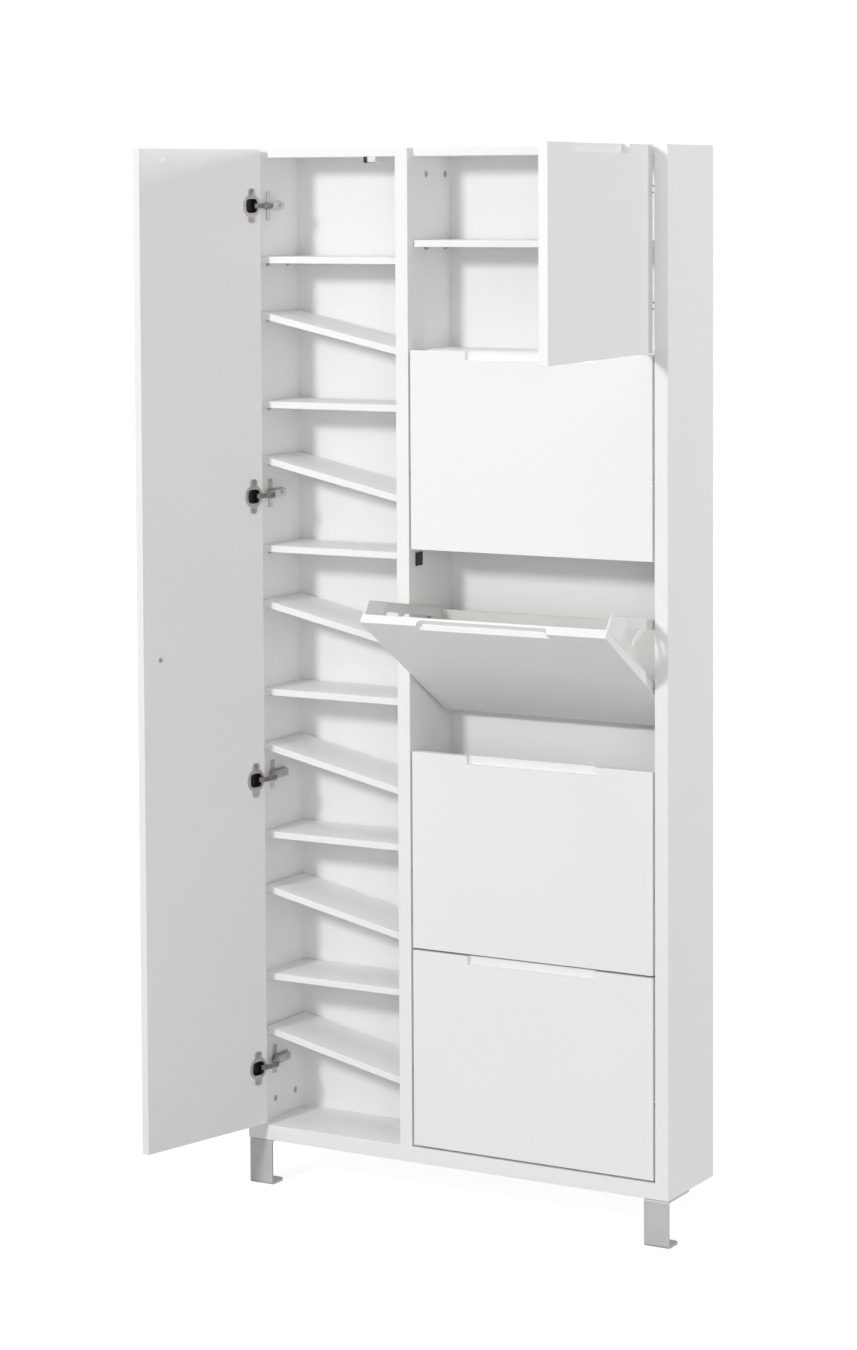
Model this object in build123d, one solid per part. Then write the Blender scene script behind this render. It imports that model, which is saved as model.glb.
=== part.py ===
from build123d import *
import math
import os

# Tall shoe cabinet, fixed to a wall and standing on two front feet. Millimetres.
# X runs to the right along the wall, Y runs from the room towards the wall and Z runs up.
# The origin is in the plane of the wall, at mid-width, level with the carcass's underside.
# The doors and one flap are modelled open, which is the cabinet's rest position.

# ---- driving dimensions ----------------------------------------------------------------

carcass_width = 850.0
carcass_depth = 180.0
carcass_height = 1800.0
side_board = 25.0            # both sides and the upright divider
bottom_board_t = 28.0
top_board_t = 15.0
shelf_t = 12.0
back_panel_t = 3.0
back_recess = 24.0           # hollow behind the back panels, for the wall brackets
groove_depth = 6.0
front_t = 16.0               # doors and flaps
left_opening = 295.0         # clear width of the tall shelf column
door_gap = 3.0               # beside the doors
flap_gap = 4.0               # beside the flaps, and between all fronts in height
front_relief = 2.0           # top boards stop this far behind the fronts
eased_edge = 0.8             # radius on the edge banding
play = 0.1                   # assembly play around glued or pressed fittings

tall_door_open = 104.0       # degrees
small_door_open = 96.0
flap_tilt = 57.4
flap_count = 4
open_flap = 3                # counted from the bottom

flat_shelf_top = 303.5       # lowest level shelf, above the carcass's underside
shelf_pitch = 260.8
shelf_pairs = 6
slant_left_drop = 98.5       # sloping shelf's left end, below the level shelf's top
slant_fall = 63.0            # how far a sloping shelf falls to the right
shelf_setback = 20.0         # shelf edge behind the front plane
small_shelf_top = 1638.0     # shelf in the top right compartment

cup_radius = 17.5
cup_depth = 11.5
cup_offset = 22.5            # cup centre from the door's hinge edge
link_pin = (20.0, 22.0)      # hinge arm's pin, from the door's outer front corner
link_turn_ratio = 0.981      # link's turn for each degree of the door's
tall_hinge_heights = (137.0, 664.0, 1178.0, 1699.0)
small_hinge_heights = (1528.0, 1725.0)

flap_pin_radius = 4.0
flap_pin_height = 136.0      # above the flap's lower edge
stop_radius = 80.0           # stop peg's distance from the flap's pin
stop_angle = 60.0            # its direction from the pin, above the horizontal
peg_radius = 5.0

foot_height = 84.0
foot_width = 47.0
foot_metal = 4.0

# ---- places worked out from them -------------------------------------------------------

left_x = -carcass_width / 2
right_x = carcass_width / 2
front_y = -carcass_depth
left_face = left_x + side_board
divider_left = left_face + left_opening
divider_right = divider_left + side_board
right_face = right_x - side_board
back_face = -back_recess - back_panel_t
top_board_z = carcass_height - top_board_t

front_height = (carcass_height - bottom_board_t - 5 * flap_gap) / 5
front_pitch = front_height + flap_gap
first_front_z = bottom_board_t + flap_gap
small_door_z = first_front_z + flap_count * front_pitch
compartment_floor_top = small_door_z - flap_gap

centre_low = (Align.CENTER, Align.CENTER, Align.MIN)
parts = {}


# ---- shared shapes ---------------------------------------------------------------------

def block(xs, ys, zs, edge=0.0):
    """A board between two X, two Y and two Z limits, its edges rounded by edge."""
    size = [high - low for low, high in (xs, ys, zs)]
    middle = [(high + low) / 2 for low, high in (xs, ys, zs)]
    board = Box(*size)
    if edge:
        board = fillet(board.edges(), edge)
    return Pos(*middle) * board


def rod(start, direction, radius, length):
    """A round bar that begins at start and runs along direction."""
    return Plane(origin=start, z_dir=direction) * Cylinder(radius, length, align=centre_low)


def screw(head, direction, length, radius=1.7, head_radius=3.6):
    """A countersunk screw: head is the middle of its face, direction points into the work."""
    sink = head_radius - radius
    cone = Plane(origin=head, z_dir=direction) * Cone(head_radius, radius, sink, align=centre_low)
    drive = rod(head, direction, 1.1, sink * 0.8)
    return cone + rod(head, direction, radius, length) - drive


def screw_hole(head, direction, length, radius=1.7, head_radius=3.6):
    """The countersunk hole that a screw of this size sits in."""
    sink = head_radius - radius
    cone = Plane(origin=head, z_dir=direction) * Cone(
        head_radius + play, radius + play, sink, align=centre_low
    )
    return cone + rod(head, direction, radius + play, length + 0.5)


def profile_along_x(points, x_low, x_high):
    """A closed outline in Y and Z, drawn out between two X limits."""
    outline = Plane(origin=(x_low, 0, 0), x_dir=(0, 1, 0), z_dir=(1, 0, 0)) * Polygon(
        *points, align=None
    )
    return extrude(outline, x_high - x_low)


def group(solids):
    """Like pieces that share one node, each a solid of its own."""
    return Compound(children=list(solids))


# ---- carcass ---------------------------------------------------------------------------

def groove(xs, zs):
    """The slot that a back panel slides in."""
    return block(xs, (back_face - play, back_face + back_panel_t + play), zs)


side_height = (bottom_board_t, carcass_height)
groove_height = (bottom_board_t - groove_depth, top_board_z + groove_depth)
left_grooves = groove((left_face - groove_depth, divider_left + groove_depth), groove_height)
right_grooves = groove((divider_right - groove_depth, right_face + groove_depth), groove_height)

side_panel_left = block((left_x, left_face), (front_y, 0), side_height, eased_edge) - left_grooves
side_panel_right = block((right_face, right_x), (front_y, 0), side_height, eased_edge)
side_panel_right -= right_grooves
divider = block((divider_left, divider_right), (front_y, 0), side_height, eased_edge)
divider = divider - left_grooves - right_grooves
bottom_board = block((left_x, right_x), (front_y, 0), (0, bottom_board_t), eased_edge)
bottom_board = bottom_board - left_grooves - right_grooves

top_front = front_y + front_t + front_relief
top_board_left = block(
    (left_face, divider_left), (top_front, 0), (top_board_z, carcass_height), eased_edge
)
top_board_right = block(
    (divider_right, right_face), (top_front, 0), (top_board_z, carcass_height), eased_edge
)
top_board_left -= left_grooves
top_board_right -= right_grooves
floor_front = front_y + 54       # clears the cheeks of the flap below
compartment_floor = block(
    (divider_right, right_face),
    (floor_front, back_face),
    (compartment_floor_top - top_board_t, compartment_floor_top),
    eased_edge,
)

panel_height = (bottom_board_t - groove_depth + 1, top_board_z + groove_depth - 1)
panel_depth = (back_face, back_face + back_panel_t)
parts["back_panel_left"] = block(
    (left_face - groove_depth + 1, divider_left + groove_depth - 1), panel_depth, panel_height
)
parts["back_panel_right"] = block(
    (divider_right - groove_depth + 1, right_face + groove_depth - 1), panel_depth, panel_height
)

# Cam locks: round zinc cams, each turned on a bolt to pull two boards together. The left top
# board has its cams in its underside, the right one is held by cams in the uprights.
cam_radius = 6.0
cam_depth = 11.0
left_cam_rows = (front_y + 53, front_y + 121)
right_cam_rows = (front_y + 67, front_y + 135)
low_cam_z = bottom_board_t + 35
high_cam_z = carcass_height - 46
cam_from_end = 34.0


def cam(face, inwards):
    """One cam, flush in a board: face is its middle, inwards points into the board."""
    cross = Box(9, 1.6, 3) + Box(1.6, 9, 3)
    return rod(face, inwards, cam_radius, cam_depth) - Plane(origin=face, z_dir=inwards) * cross


def cam_seat(face, inwards):
    """The round pocket that a cam sits in."""
    return rod(face, inwards, cam_radius + play, cam_depth + play)


cam_locks = []
for y in left_cam_rows:
    side_panel_left -= cam_seat((left_face, y, low_cam_z), (-1, 0, 0))
    cam_locks.append(cam((left_face, y, low_cam_z), (-1, 0, 0)))
    for x in (left_face + cam_from_end, divider_left - cam_from_end):
        top_board_left -= cam_seat((x, y, top_board_z), (0, 0, 1))
        cam_locks.append(cam((x, y, top_board_z), (0, 0, 1)))
for y in right_cam_rows:
    for z in (low_cam_z, high_cam_z):
        divider -= cam_seat((divider_right, y, z), (-1, 0, 0))
        side_panel_right -= cam_seat((right_face, y, z), (1, 0, 0))
        cam_locks.append(cam((divider_right, y, z), (-1, 0, 0)))
        cam_locks.append(cam((right_face, y, z), (1, 0, 0)))
parts["cam_locks"] = group(cam_locks)

# ---- shelves and their pegs ------------------------------------------------------------

shelf_front = front_y + shelf_setback
shelf_back = back_face - 3
peg_rows = (shelf_front + 26, shelf_front + 94)
small_peg_rows = (shelf_front + 44, shelf_front + 111)
support_peg_radius = 2.5
support_peg_reach = 7.0
support_peg_seat = 9.0
level_tops = [flat_shelf_top + shelf_pitch * i for i in range(shelf_pairs)]
slant_angle = math.degrees(math.atan(slant_fall / left_opening))
slant_length = left_opening / math.cos(math.radians(slant_angle)) - 6

support_places = []
for i, level_top in enumerate(level_tops):
    number = 2 * (shelf_pairs - i) - 1
    level = block(
        (left_face + 1, divider_left - 1),
        (shelf_front, shelf_back),
        (level_top - shelf_t, level_top),
        eased_edge,
    )
    parts[f"shelf_{number:02d}_level"] = level
    peg_top = level_top - shelf_t
    support_places.append((left_face, 1, peg_top))
    support_places.append((divider_left, -1, peg_top))

    left_top = level_top - slant_left_drop
    sloping = Box(slant_length, shelf_back - shelf_front, shelf_t)
    sloping = fillet(sloping.edges(), eased_edge)
    middle_z = left_top - slant_fall / 2 - shelf_t / 2 / math.cos(math.radians(slant_angle))
    middle = Pos((left_face + divider_left) / 2, (shelf_front + shelf_back) / 2, middle_z)
    parts[f"shelf_{number + 1:02d}_sloping"] = middle * Rot(0, slant_angle, 0) * sloping
    under = shelf_t / math.cos(math.radians(slant_angle))
    peg_drop = math.tan(math.radians(slant_angle)) * support_peg_reach
    support_places.append((left_face, 1, left_top - under - peg_drop))
    support_places.append((divider_left, -1, left_top - slant_fall - under))

parts["small_shelf"] = block(
    (divider_right + 1, right_face - 1),
    (shelf_front, shelf_back),
    (small_shelf_top - shelf_t, small_shelf_top),
    eased_edge,
)
support_places.append((divider_right, 1, small_shelf_top - shelf_t))
support_places.append((right_face, -1, small_shelf_top - shelf_t))

support_pegs = []
for face_x, outwards, peg_top in support_places:
    for y in small_peg_rows if face_x >= divider_right else peg_rows:
        z = peg_top - support_peg_radius - 0.1
        start = (face_x - outwards * support_peg_seat, y, z)
        length = support_peg_seat + support_peg_reach
        support_pegs.append(rod(start, (outwards, 0, 0), support_peg_radius, length))
        seat_start = (face_x - outwards * (support_peg_seat + 0.5), y, z)
        seat = rod(seat_start, (outwards, 0, 0), support_peg_radius + play, support_peg_seat + 0.5)
        if face_x == left_face:
            side_panel_left -= seat
        elif face_x == right_face:
            side_panel_right -= seat
        else:
            divider -= seat
parts["shelf_pegs"] = group(support_pegs)

# ---- front feet ------------------------------------------------------------------------

flange_back = front_y + 92
lip_back = front_y + 46
corner_radius = 10.0
foot_front = front_y + 3


def foot(x_low, x_high):
    """A steel strip bent at top and bottom: flange under the board, upright, lip on the floor."""
    outline = [
        (foot_front, -foot_height),
        (lip_back, -foot_height),
        (lip_back, -foot_height + foot_metal),
        (foot_front + foot_metal, -foot_height + foot_metal),
        (foot_front + foot_metal, -foot_metal),
        (flange_back, -foot_metal),
        (flange_back, 0),
        (foot_front, 0),
    ]
    strip = profile_along_x(outline, x_low, x_high)
    upright_edges = strip.edges().filter_by(Axis.X)
    outer = upright_edges.group_by(Axis.Y)[0]
    strip = fillet(outer, foot_metal + 2)
    inner = [
        edge
        for edge in strip.edges().filter_by(Axis.X)
        if abs(edge.center().Y - foot_front - foot_metal) < 0.01
    ]
    strip = fillet(inner, 3)
    ends = [
        edge
        for edge in strip.edges().filter_by(Axis.Z)
        if min(abs(edge.center().Y - lip_back), abs(edge.center().Y - flange_back)) < 0.01
    ]
    return fillet(ends, corner_radius)


foot_inset = 1.0
foot_spans = {
    "foot_left": (left_x + foot_inset, left_x + foot_inset + foot_width),
    "foot_right": (right_x - foot_inset - foot_width, right_x - foot_inset),
}
steel_screws = []
for name, (x_low, x_high) in foot_spans.items():
    strip = foot(x_low, x_high)
    for y in (front_y + 42, front_y + 78):
        place = ((x_low + x_high) / 2, y, -foot_metal)
        strip -= screw_hole(place, (0, 0, 1), 20)
        bottom_board -= screw_hole(place, (0, 0, 1), 20)
        steel_screws.append(screw(place, (0, 0, 1), 20))
    parts[name] = strip

# ---- wall brackets ---------------------------------------------------------------------

bracket_leg = 40.0
bracket_metal = 2.0
bracket_width = 22.0
wall_hole_radius = 3.2
bracket_xs = (left_x + 175, right_x - 175)
brackets = []
for x in bracket_xs:
    span = (x - bracket_width / 2, x + bracket_width / 2)
    wall_leg = block(span, (-bracket_metal, 0), (top_board_z - bracket_leg, top_board_z))
    board_leg = block(span, (-22, -bracket_metal), (top_board_z - bracket_metal, top_board_z))
    wall_hole = rod(
        (x, 1, top_board_z - bracket_leg * 0.65), (0, -1, 0), wall_hole_radius, bracket_metal + 2
    )
    place = (x, -13, top_board_z - bracket_metal)
    board_screw = dict(length=11.0)
    bracket = wall_leg + board_leg - wall_hole - screw_hole(place, (0, 0, 1), **board_screw)
    brackets.append(bracket)
    steel_screws.append(screw(place, (0, 0, 1), **board_screw))
    if x < divider_left:
        top_board_left -= screw_hole(place, (0, 0, 1), **board_screw)
    else:
        top_board_right -= screw_hole(place, (0, 0, 1), **board_screw)
parts["wall_brackets"] = group(brackets)

# ---- doors and their concealed hinges --------------------------------------------------
# Everything is drawn for a door hinged on the left and closed, with the door's outer front
# corner at X = 0, Y = 0. It is then swung open, mirrored for a right-hand door and placed.

flange_t = 1.2
inner_y = front_t
pin_x, pin_y = link_pin


def hinge_cup(z):
    """The steel cup sunk in the door, with its two screw wings."""
    wings = Pos(cup_offset, inner_y, z) * Rot(-90, 0, 0) * extrude(
        RectangleRounded(17, 62, 6) + Circle(cup_radius + 3), flange_t
    )
    body = rod((cup_offset, inner_y, z), (0, -1, 0), cup_radius - play, cup_depth - play)
    hollow = rod((cup_offset, inner_y + 2, z), (0, -1, 0), cup_radius - 1.5, cup_depth + 0.5)
    return wings + body - hollow


def cup_screw_places(z):
    """Both screws of one cup, in its wings."""
    return [(cup_offset, inner_y + flange_t, z + rise) for rise in (-25, 25)]


def hinge_arm(z):
    """The arm that the plate holds: a channel, cranked out to the pin near the door."""
    outline = Polyline(
        (0.2 - door_gap + 2.8, 86),
        (0.2 - door_gap + 2.8, 46),
        (6, 32),
        (14, 20),
        (18, 18.6),
        (22, 18.6),
        (23.6, 22),
        (22, 26),
        (17, 34),
        (11, 46),
        (9.5, 86),
        close=True,
    )
    bar = Pos(0, 0, z - 6.5) * extrude(make_face(outline), 13)
    slot = block((8, 60), (10, 42), (z - 4.3, z + 4.3))
    bar = bar - slot
    return bar + rod((pin_x, pin_y, z - 6), (0, 0, 1), 1.5, 12)


def hinge_link(z):
    """The curved link between the arm's pin and the cup, drawn with the door closed."""
    spine = FilletPolyline((2, 0.5), (14, 3.5), (22, 6.5), (34, 4.5), (38.5, -0.8), radius=4)
    strip = Pos(pin_x, pin_y, z - 4) * extrude(trace(spine, 2.4), 8)
    eye = rod((pin_x, pin_y, z - 4), (0, 0, 1), 3.3, 8)
    return strip + eye - rod((pin_x, pin_y, z - 5), (0, 0, 1), 1.55, 10)


def hinge_plate(z):
    """The cross-shaped mounting plate, screwed to the upright beside the door."""
    face = -door_gap
    wings = block((face, face + 1.8), (44, 56), (z - 26, z + 26), 0.5)
    saddle = block((face, face + 2.8), (40, 92), (z - 8, z + 8), 0.5)
    return wings + saddle


def plate_screw_places(z):
    """The two screws of one plate, 32 mm apart."""
    return [(-door_gap + 1.8, 50, z + rise) for rise in (-20, 20)]


def arm_screw(z):
    """The machine screw that clamps the arm to its plate."""
    return rod((9.6, 72, z), (1, 0, 0), 3.4, 1.6) - Pos(11.2, 72, z) * Box(1.4, 5, 1.2)


def finger_recess(x_low, x_high, top_z):
    """The routed finger pull in a front's upper edge."""
    cutter = RectangleRounded(x_high - x_low, 2 * recess_depth, 8)
    return Pos((x_low + x_high) / 2, 0, top_z - recess_height) * extrude(cutter, recess_height + 5)


recess_depth = 11.0
recess_height = 15.0
recess_width = 251.0


def door_panel(width, z_low, z_high, hinge_heights):
    """A door leaf with the bores and screw holes of its hinges."""
    panel = block((0, width), (0, front_t), (z_low, z_high), eased_edge)
    for z in hinge_heights:
        panel -= rod((cup_offset, front_t + 1, z), (0, -1, 0), cup_radius, cup_depth + 1)
        for place in cup_screw_places(z):
            panel -= screw_hole(place, (0, -1, 0), 12)
    return panel


def placed(shape, corner_x, mirrored, angle=0.0):
    """Swing a piece open by angle and set its hinge corner at corner_x on the front plane."""
    swung = Rot(0, 0, -angle) * shape
    if mirrored:
        swung = mirror(swung, about=Plane.YZ)
    return Pos(corner_x, front_y, 0) * swung


def link_placed(z, corner_x, mirrored, angle):
    """One hinge link, turned about the arm's pin by its share of the door's swing."""
    link = Pos(-pin_x, -pin_y, 0) * hinge_link(z)
    turned = Pos(pin_x, pin_y, 0) * Rot(0, 0, -angle * link_turn_ratio) * link
    return placed(turned, corner_x, mirrored)


tall_corner = left_face + door_gap
small_corner = right_face - door_gap
tall_width = left_opening - 2 * door_gap
small_width = right_face - divider_right - 2 * door_gap
knob_inset = 40.0
knob_height = 905.0
knob_radius = 12.0
knob_reach = 22.0

door_specs = {
    "tall": (tall_corner, False, tall_door_open, tall_width, first_front_z, tall_hinge_heights),
    "small": (small_corner, True, small_door_open, small_width, small_door_z, small_hinge_heights),
}
plates = []
arms = []
for name, (corner, mirrored, angle, width, z_low, heights) in door_specs.items():
    leaf = door_panel(width, z_low, carcass_height, heights)
    door_screws = []
    for z in heights:
        for place in cup_screw_places(z):
            door_screws.append(screw(place, (0, -1, 0), 12))
    cups = []
    for z in heights:
        cup = hinge_cup(z)
        for place in cup_screw_places(z):
            cup -= screw_hole(place, (0, -1, 0), 12)
        cups.append(placed(cup, corner, mirrored, angle))
        plate = hinge_plate(z)
        for place in plate_screw_places(z):
            plate -= screw_hole(place, (-1, 0, 0), 14)
            fixing = placed(screw(place, (-1, 0, 0), 14), corner, mirrored)
            pilot = placed(screw_hole(place, (-1, 0, 0), 14), corner, mirrored)
            steel_screws.append(fixing)
            if mirrored:
                side_panel_right -= pilot
            else:
                side_panel_left -= pilot
        plates.append(placed(plate, corner, mirrored))
        arms.append(placed(hinge_arm(z) + arm_screw(z), corner, mirrored))

    if name == "small":
        leaf -= finger_recess((width - recess_width) / 2, (width + recess_width) / 2, carcass_height)
    else:
        knob_x = width - knob_inset
        strike_x = 230.0
        strike_z = top_board_z - 5
        strike = rod((strike_x, front_t, strike_z), (0, 1, 0), 7, 1)
        strike_place = (strike_x, front_t + 1, strike_z)
        strike -= screw_hole(strike_place, (0, -1, 0), 9, 1.2, 2.2)
        leaf -= screw_hole(strike_place, (0, -1, 0), 9, 1.2, 2.2)
        leaf -= rod((knob_x, -1, knob_height), (0, 1, 0), 2 + play, front_t + 2)
        head_seat = rod((knob_x, front_t - 1, knob_height), (0, 1, 0), 4.2, 3)
        leaf -= head_seat
        door_screws.append(screw(strike_place, (0, -1, 0), 9, 1.2, 2.2))
        knob_screw = rod((knob_x, front_t - 1 + 0.8, knob_height), (0, -1, 0), 2, front_t + 9)
        knob_screw += rod((knob_x, front_t - 1, knob_height), (0, 1, 0), 4, 1.6)
        door_screws.append(knob_screw)
        stem = rod((knob_x, 0, knob_height), (0, -1, 0), 5, 12)
        disc = rod((knob_x, -10, knob_height), (0, -1, 0), knob_radius, knob_reach - 10)
        disc = fillet(disc.edges(), 3)
        knob = stem + disc - rod((knob_x, 1, knob_height), (0, -1, 0), 2 + play, 12)
        parts["tall_door_knob"] = placed(knob, corner, mirrored, angle)
        parts["strike_plate"] = placed(strike, corner, mirrored, angle)
    parts[f"{name}_door"] = placed(leaf, corner, mirrored, angle)
    parts[f"{name}_door_screws"] = group(placed(s, corner, mirrored, angle) for s in door_screws)
    parts[f"{name}_hinge_cups"] = group(cups)
    parts[f"{name}_hinge_links"] = group(link_placed(z, corner, mirrored, angle) for z in heights)
parts["hinge_plates"] = group(plates)
parts["hinge_arms"] = group(arms)

# Magnetic catch under the left top board, which meets the strike plate on the closed door.
catch_x = tall_corner + 230.0
catch_back = front_y + front_t + 1.5
catch = block((catch_x - 12, catch_x + 12), (catch_back, catch_back + 34), (top_board_z - 10, top_board_z))
catch = fillet(catch.edges().filter_by(Axis.Z), 2)
catch_place = (catch_x, catch_back + 24, top_board_z - 10)
catch -= screw_hole(catch_place, (0, 0, 1), 20)
top_board_left -= screw_hole(catch_place, (0, 0, 1), 20)
steel_screws.append(screw(catch_place, (0, 0, 1), 20))
parts["magnetic_catch"] = catch
parts["steel_screws"] = group(steel_screws)

# ---- tilting flaps ---------------------------------------------------------------------
# Drawn closed, with Y counted from the front plane and Z from the flap's lower edge.

flap_x = (divider_right + flap_gap, right_face - flap_gap)
cheek_t = 3.0
tray_t = 3.0
pin_line = (front_t / 2, flap_pin_height)
cheek_toe = (62.0, 5.0)          # where the bin's floor starts to slope
cheek_heel = (148.0, 112.0)      # nearest to the wall
cheek_top = (44.0, 348.0)
cheek_rim = 19.0                 # left between a window and the sloping edge, measured level
window_arc = 112.0               # upper end of the main window, from the pin
rib_arc = 120.0                  # lower end of the small window, from the pin
window_front = 20.0
small_window_front = 33.0
small_window_top = 281.0
window_corner = 3.0
pin_in_flap = 12.0
pin_in_bush = 10.0
bush_radius = 6.0
bush_depth = 12.0
stop_reach = 11.0
catch_height = (322.5, 346.5)    # closing catch, above the flap's lower edge
catch_depth = (22.0, 44.0)


def around_pin(radius, degrees):
    """A point at a distance and direction from the flap's pin line, as (Y, Z)."""
    turn = math.radians(degrees)
    return (pin_line[0] + radius * math.cos(turn), pin_line[1] + radius * math.sin(turn))


def rim_point(z):
    """The point at this height that is one rim inside the cheek's sloping edge, as (Y, Z)."""
    share = (z - cheek_heel[1]) / (cheek_top[1] - cheek_heel[1])
    edge = cheek_heel[0] + share * (cheek_top[0] - cheek_heel[0])
    return (edge - cheek_rim, z)


def cheek_windows():
    """The two openings in a cheek. The stop peg runs in the lower one, down to its sill."""
    sill = around_pin(stop_radius, stop_angle - flap_tilt)[1] - peg_radius - 0.3
    above = pin_line[1] + rib_arc
    centre = Pos(*pin_line)
    lower = Polygon(
        (window_front, sill), rim_point(sill), rim_point(above), (window_front, above), align=None
    )
    lower = lower & (centre * Circle(window_arc))
    upper = Polygon(
        (small_window_front, above - rib_arc / 2),
        rim_point(above - rib_arc / 2),
        rim_point(small_window_top),
        (small_window_front, small_window_top),
        align=None,
    )
    upper = upper - (centre * Circle(rib_arc))
    return [lower, upper]


def cheek(x_low, x_high, flange_low, flange_high):
    """A moulded side cheek: plate with two windows, and a flange on the flap's back."""
    outline = [(front_t, cheek_toe[1]), cheek_toe, cheek_heel, cheek_top, (front_t, cheek_top[1])]
    plate = profile_along_x(outline, x_low, x_high)
    corners = [edge for edge in plate.edges().filter_by(Axis.X) if edge.center().Y > front_t + 1]
    plate = fillet(corners, 6)
    yz = Plane(origin=(x_low - 1, 0, 0), x_dir=(0, 1, 0), z_dir=(1, 0, 0))
    for opening in cheek_windows():
        cutter = extrude(yz * opening, cheek_t + 2)
        plate -= fillet(cutter.edges().filter_by(Axis.X), window_corner)
    flange = block((flange_low, flange_high), (front_t, front_t + 3), (14, 344))
    return plate + flange


def tray():
    """The bin's floor and sloping back, one bent sheet between the cheeks."""
    rise = cheek_heel[1] - cheek_toe[1]
    run = cheek_heel[0] - cheek_toe[0]
    slope = math.atan2(rise, run)
    inward = (-math.sin(slope) * tray_t, math.cos(slope) * tray_t)
    edge_trim = 2.0
    end_low = (cheek_heel[0] - edge_trim, cheek_heel[1] - edge_trim * rise / run)
    outline = [
        (front_t + 0.2, cheek_toe[1]),
        cheek_toe,
        end_low,
        (end_low[0] + inward[0], end_low[1] + inward[1]),
        (cheek_toe[0] + inward[0] * 0.6, cheek_toe[1] + tray_t),
        (front_t + 0.2, cheek_toe[1] + tray_t),
    ]
    return profile_along_x(outline, flap_x[0] + cheek_t + 0.2, flap_x[1] - cheek_t - 0.2)


def flap_placed(shape, z_low, angle):
    """Tilt a flap's piece about its pins and set it at its height."""
    line = Pos(0, pin_line[0], pin_line[1])
    tilted = line * Rot(angle, 0, 0) * Pos(0, -pin_line[0], -pin_line[1]) * shape
    return Pos(0, front_y, z_low) * tilted


flange_width = 15.0
cheek_screw_heights = (60.0, 230.0, 320.0)
bushes = []
stops = []
flap_catches = []
for number in range(1, flap_count + 1):
    z_low = first_front_z + (number - 1) * front_pitch
    angle = flap_tilt if number == open_flap else 0.0

    front = block(flap_x, (0, front_t), (0, front_height), eased_edge)
    middle_x = (flap_x[0] + flap_x[1]) / 2
    front -= finger_recess(middle_x - recess_width / 2, middle_x + recess_width / 2, front_height)
    pins = []
    for edge_x, outwards in ((flap_x[0], -1), (flap_x[1], 1)):
        start = (edge_x - outwards * pin_in_flap, *pin_line)
        reach = pin_in_flap + flap_gap + pin_in_bush
        pins.append(rod(start, (outwards, 0, 0), flap_pin_radius, reach))
        front -= rod(start, (outwards, 0, 0), flap_pin_radius + play / 2, pin_in_flap + 1)

    cheeks = [
        cheek(flap_x[0], flap_x[0] + cheek_t, flap_x[0] + cheek_t, flap_x[0] + flange_width),
        cheek(flap_x[1] - cheek_t, flap_x[1], flap_x[1] - flange_width, flap_x[1] - cheek_t),
    ]
    fixings = list(pins)
    for side, x in enumerate((flap_x[0] + 9, flap_x[1] - 9)):
        for z in cheek_screw_heights:
            place = (x, front_t + 3, z)
            cheeks[side] -= screw_hole(place, (0, -1, 0), 13)
            front -= screw_hole(place, (0, -1, 0), 13)
            fixings.append(screw(place, (0, -1, 0), 13))

    parts[f"flap_{number}_front"] = flap_placed(front, z_low, angle)
    parts[f"flap_{number}_cheeks"] = group(flap_placed(c, z_low, angle) for c in cheeks)
    parts[f"flap_{number}_tray"] = flap_placed(tray(), z_low, angle)
    parts[f"flap_{number}_pins_and_screws"] = group(flap_placed(f, z_low, angle) for f in fixings)

    for face_x, inwards in ((divider_right, -1), (right_face, 1)):
        pin_place = (face_x, front_y + pin_line[0], z_low + pin_line[1])
        bore = rod((face_x - inwards, *pin_place[1:]), (inwards, 0, 0), flap_pin_radius + 0.05, 20)
        bushes.append(rod(pin_place, (inwards, 0, 0), bush_radius, bush_depth) - bore)
        stop_y, stop_z = around_pin(stop_radius, stop_angle)
        stop_place = (face_x + inwards * 9, front_y + stop_y, z_low + stop_z)
        stops.append(rod(stop_place, (-inwards, 0, 0), peg_radius, 9 + stop_reach))
        bush_seat = rod(pin_place, (inwards, 0, 0), bush_radius + 0.05, bush_depth + 0.5)
        stop_seat = rod((face_x, *stop_place[1:]), (inwards, 0, 0), peg_radius + play, 9.5)
        if inwards < 0:
            divider = divider - bush_seat - stop_seat
        else:
            side_panel_right = side_panel_right - bush_seat - stop_seat
    pad_y = [front_y + depth for depth in catch_depth]
    pad_z = [z_low + height for height in catch_height]
    flap_catches.append(block((divider_right, divider_right + 3), pad_y, pad_z, 0.8))
parts["flap_bushes"] = group(bushes)
parts["flap_stop_pegs"] = group(stops)
parts["flap_catches"] = group(flap_catches)

# ---- write one STEP file for each node -------------------------------------------------

parts["side_panel_left"] = side_panel_left
parts["side_panel_right"] = side_panel_right
parts["divider"] = divider
parts["bottom_board"] = bottom_board
parts["top_board_left"] = top_board_left
parts["top_board_right"] = top_board_right
parts["compartment_floor"] = compartment_floor
for name, shape in parts.items():
    export_step(shape, f"parts/{name}.step")
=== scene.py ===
import bmesh
import bpy
import math
import numpy
from mathutils import Matrix, Vector


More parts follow.
